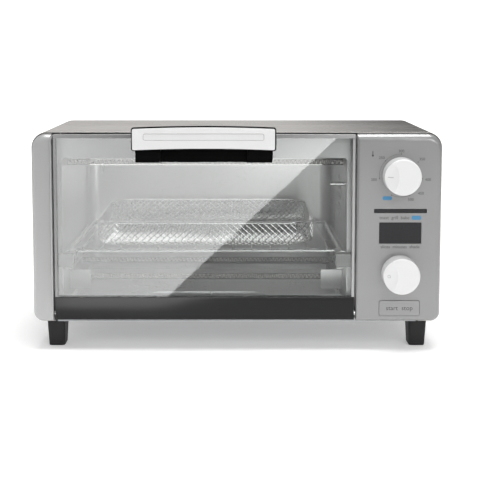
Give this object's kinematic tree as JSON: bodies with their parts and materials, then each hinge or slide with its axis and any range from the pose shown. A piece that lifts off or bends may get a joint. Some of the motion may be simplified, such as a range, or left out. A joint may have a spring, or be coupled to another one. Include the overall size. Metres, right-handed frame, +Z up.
{
  "type": "toaster oven",
  "caption": "Countertop toaster oven: steel casing, drop-down glass door with handle, side panel with dials and key, wire rack and frying basket in a rounded-back cavity.",
  "frame": {"origin": "under the middle of the whole oven, on the surface that its feet stand on, with the handle and the rear bulge counted in its depth", "axes": "+Z up, the door and the dials face -Y, +X is to the right for someone who faces the door"},
  "size_m": [0.42, 0.296, 0.2341],
  "materials": {
    "wrap_steel": "brushed along its length",
    "plated_steel": "plain plated sheet",
    "cavity_steel": "bright aluminised sheet",
    "bright_wire": "bright nickel plate",
    "bezel_plastic": "silver grey satin paint",
    "panel_plastic": "grey satin paint",
    "window_plastic": "dark smoked and glossy",
    "door_glass": "clear tempered",
    "rail_plastic": "black satin",
    "white_plastic": "white gloss",
    "black_plastic": "black fine grain",
    "foot_rubber": "matt",
    "quartz": "milky quartz tube with white ceramic ends",
    "circuit_board": "green board",
    "motor_steel": "plain grey metal"
  },
  "bodies": {
    "root": {"outer_wrap": "wrap_steel", "base_pan": "plated_steel", "back_panel": "plated_steel", "fan_housing": "plated_steel", "hinge_bracket_left": "plated_steel", "hinge_bracket_right": "plated_steel", "left_bezel": "bezel_plastic", "control_panel": "panel_plastic", "display_window": "window_plastic", "indicator_window": "window_plastic", "display_module": "black_plastic", "start_switch": "black_plastic", "foot_front_left": "foot_rubber", "foot_front_right": "foot_rubber", "foot_rear_left": "foot_rubber", "foot_rear_right": "foot_rubber", "cord_gland": "foot_rubber", "cavity_front_frame": "cavity_steel", "cavity_top": "cavity_steel", "cavity_left_wall": "cavity_steel", "cavity_right_wall": "cavity_steel", "cavity_back_wall": "cavity_steel", "crumb_tray": "cavity_steel", "hinge_spring_left": "bright_wire", "hinge_spring_right": "bright_wire", "temperature_probe": "bright_wire", "upper_front_element": "quartz", "upper_rear_element": "quartz", "lower_front_element": "quartz", "lower_rear_element": "quartz", "control_board": "circuit_board", "power_board": "circuit_board", "fan_motor": "motor_steel", "temperature_encoder": "motor_steel", "time_encoder": "motor_steel"},
    "door": {"door_glass": "door_glass", "door_bottom_rail": "rail_plastic", "door_top_trim": "bezel_plastic", "door_left_trim": "bezel_plastic", "door_right_trim": "bezel_plastic", "handle_base": "black_plastic", "handle_grip": "black_plastic", "handle_plate": "white_plastic", "hinge_pin_left": "bright_wire", "hinge_pin_right": "bright_wire", "rack_hook_left": "bright_wire", "rack_hook_right": "bright_wire", "handle_screw_left": "bright_wire", "handle_screw_right": "bright_wire"},
    "rack": {"wire_rack": "bright_wire"},
    "basket": {"air_fry_basket": "bright_wire"},
    "temperature_dial": {"temperature_knob": "white_plastic", "temperature_shaft": "bright_wire"},
    "time_dial": {"time_knob": "white_plastic", "time_shaft": "bright_wire"},
    "start_key": {"start_button": "panel_plastic"},
    "fan": {"fan_blade": "cavity_steel", "fan_shaft": "bright_wire"}
  },
  "joints": [
    {"name": "door_hinge", "type": "hinge", "parent": "root", "child": "door", "pos_m": [-0.03315, -0.113, 0.0385], "axis": [1, 0, 0], "range_deg": [0, 90], "stiffness_Nm_per_rad": 0.12, "springref_deg": -68.75},
    {"name": "rack_slide", "type": "slide", "parent": "root", "child": "rack", "axis": [0, -1, 0], "range_m": [0, 0.11]},
    {"name": "basket_lift", "type": "slide", "parent": "rack", "child": "basket", "axis": [0, 0, 1], "range_m": [0, 0.03]},
    {"name": "temperature_turn", "type": "hinge", "parent": "root", "child": "temperature_dial", "pos_m": [0.1675, -0.1203, 0.182], "axis": [0, 1, 0], "range_deg": [-10, 305]},
    {"name": "time_turn", "type": "hinge", "parent": "root", "child": "time_dial", "pos_m": [0.1675, -0.1203, 0.081], "axis": [0, 1, 0], "continuous": true},
    {"name": "start_press", "type": "slide", "parent": "root", "child": "start_key", "axis": [0, 1, 0], "range_m": [0, 0.0015], "stiffness_N_per_m": 400, "springref_m": -0.001},
    {"name": "fan_spin", "type": "hinge", "parent": "root", "child": "fan", "pos_m": [0.1151, 0.001, 0.148], "axis": [1, 0, 0], "continuous": true}
  ],
  "couplings": [
    {"joint": "rack_slide", "follows": "door_hinge", "m_per_rad": 0.07}
  ]
}
